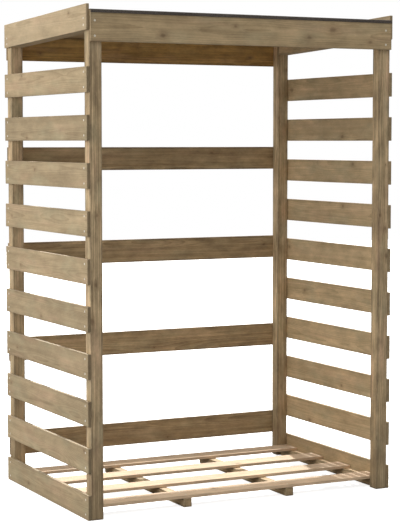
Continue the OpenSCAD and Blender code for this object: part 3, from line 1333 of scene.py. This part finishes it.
def camera_switch(tree, unseen, seen):
    """One shader for what the camera sees, another for all other light."""
    switch = tree.nodes.new("ShaderNodeMixShader")
    camera_ray = tree.nodes.new("ShaderNodeLightPath").outputs["Is Camera Ray"]
    for socket, output in zip(switch.inputs, (camera_ray, unseen, seen)):
        tree.links.new(output, socket)
    return switch.outputs[0]


def studio_floor():
    """A pale floor, a grid of large cells."""
    mesh = bmesh.new()
    bmesh.ops.create_grid(mesh, x_segments=STAGE_CELLS, y_segments=STAGE_CELLS, size=STAGE_HALF)
    floor = put_in_scene("studio_floor", plain_mesh(mesh, "studio_floor"))
    floor.location.z = -STAGE_BELOW
    return floor


def pale_paint():
    """Near-white paint for the camera, and a duller one for bounced light."""
    material = bpy.data.materials.new("pale_paint")
    material.use_nodes = True
    tree = material.node_tree
    tree.nodes.clear()
    surface = tree.nodes.new("ShaderNodeTexCoord").outputs["Object"]
    mottle = cloud(tree, surface, (1.5, 1.5, 1.5), (0.0, 0.0, 0.0), 3.0)
    seen, bounced = tree.nodes.new("ShaderNodeBsdfDiffuse"), tree.nodes.new("ShaderNodeBsdfDiffuse")
    feed(tree, seen.inputs["Color"], mix_colour(tree, mottle, (0.93, 0.93, 0.92), (0.96, 0.96, 0.95)))
    feed(tree, bounced.inputs["Color"], BOUNCED)
    glow, lifted = tree.nodes.new("ShaderNodeEmission"), tree.nodes.new("ShaderNodeAddShader")
    glow.inputs["Strength"].default_value = STAGE_GLOW
    tree.links.new(seen.outputs[0], lifted.inputs[0])
    tree.links.new(glow.outputs[0], lifted.inputs[1])
    out = tree.nodes.new("ShaderNodeOutputMaterial")
    paint = camera_switch(tree, bounced.outputs[0], lifted.outputs[0])
    tree.links.new(paint, out.inputs["Surface"])
    return material


floor = studio_floor()
floor.data.materials.append(pale_paint())
print("stage:", floor.name)

# %% [markdown]
# ## Light
# Three lights are enough. A low sun behind the store, a little to the right, comes in through
# the open back: it lays bright bands on the floor boards and lights the top edges of the
# slats. A large soft light on the left brings out the left side, and a pale sky, brighter
# overhead than low down, fills the rest and leaves shade under whatever stands proud.

# %% Lights
SUN_FROM = Vector((0.25, 1.0, 1.12))
SUN_ENERGY = 3.7
SUN_ANGLE = math.radians(1.5)
SOFT_FROM = Vector((-4.4, -0.4, 1.9))
SOFT_AT = Vector((0, 0, 0.95))
SOFT_SIZE = 3.2
SOFT_ENERGY = 104.0
SKY_LIGHT = 0.80
SKY_LOW = 0.46  # share of the sky light that comes from the horizon and below
SKY_SEEN = 1.0
SKY_COLOUR = (1.0, 0.985, 0.96)


def aim(thing, direction):
    """Turn a light or camera so that it looks along a direction."""
    thing.rotation_euler = direction.to_track_quat("-Z", "Y").to_euler()


def add_light(name, kind, energy):
    """A lamp of one kind in the scene."""
    lamp = bpy.data.lights.new(name, kind)
    lamp.energy = energy
    thing = bpy.data.objects.new(name, lamp)
    bpy.context.scene.collection.objects.link(thing)
    return thing


sun = add_light("back_sun", "SUN", SUN_ENERGY)
sun.data.angle = SUN_ANGLE
aim(sun, -SUN_FROM)
soft = add_light("left_soft", "AREA", SOFT_ENERGY)
soft.data.size = SOFT_SIZE
soft.location = SOFT_FROM
aim(soft, SOFT_AT - SOFT_FROM)
print("lights:", sun.name, soft.name)

# %% Sky
world = bpy.data.worlds.new("pale_sky")
world.use_nodes = True
tree = world.node_tree
tree.nodes.clear()
lit, seen = tree.nodes.new("ShaderNodeBackground"), tree.nodes.new("ShaderNodeBackground")
lit.inputs["Strength"].default_value = SKY_LIGHT
height = split(tree, tree.nodes.new("ShaderNodeTexCoord").outputs["Generated"])[2]
rise = ease_range(tree, height, -0.1, 0.8)
feed(tree, lit.inputs["Color"], mix_colour(tree, rise, tinted(SKY_COLOUR, SKY_LOW), SKY_COLOUR))
seen.inputs["Color"].default_value = (1.0, 1.0, 1.0, 1.0)
seen.inputs["Strength"].default_value = SKY_SEEN
sky = camera_switch(tree, lit.outputs[0], seen.outputs[0])
tree.links.new(sky, tree.nodes.new("ShaderNodeOutputWorld").inputs["Surface"])
bpy.context.scene.world = world
print("sky strength:", SKY_LIGHT)

# %% [markdown]
# ## Camera
# The store is seen from its front left corner with a long lens, from about eye height, so the
# verticals stay nearly straight. The Standard view transform keeps the pale floor pale.

# %% Camera
CAMERA_AT = Vector((-3.0076, -6.0314, 1.4075))
TURN_RIGHT = 0.4651  # radians from straight ahead
LOOK_DOWN = 0.0736  # radians below level
LENS = 112.83

camera_data = bpy.data.cameras.new("camera")
camera_data.lens = LENS
camera_data.sensor_width = 36.0
camera_data.clip_end = 60.0
camera = bpy.data.objects.new("camera", camera_data)
camera.location = CAMERA_AT
camera.rotation_euler = (math.pi / 2 - LOOK_DOWN, 0.0, -TURN_RIGHT)
bpy.context.scene.collection.objects.link(camera)
bpy.context.scene.camera = camera
bpy.context.scene.view_settings.view_transform = "Standard"
print("camera at", tuple(round(v, 2) for v in camera.location))

# %% [markdown]
# ## Sizes
# The finished model has to fill the same box as the CAD model. The last cell brings the
# scene up to date.

# %% Bring the scene up to date
bpy.context.view_layer.update()
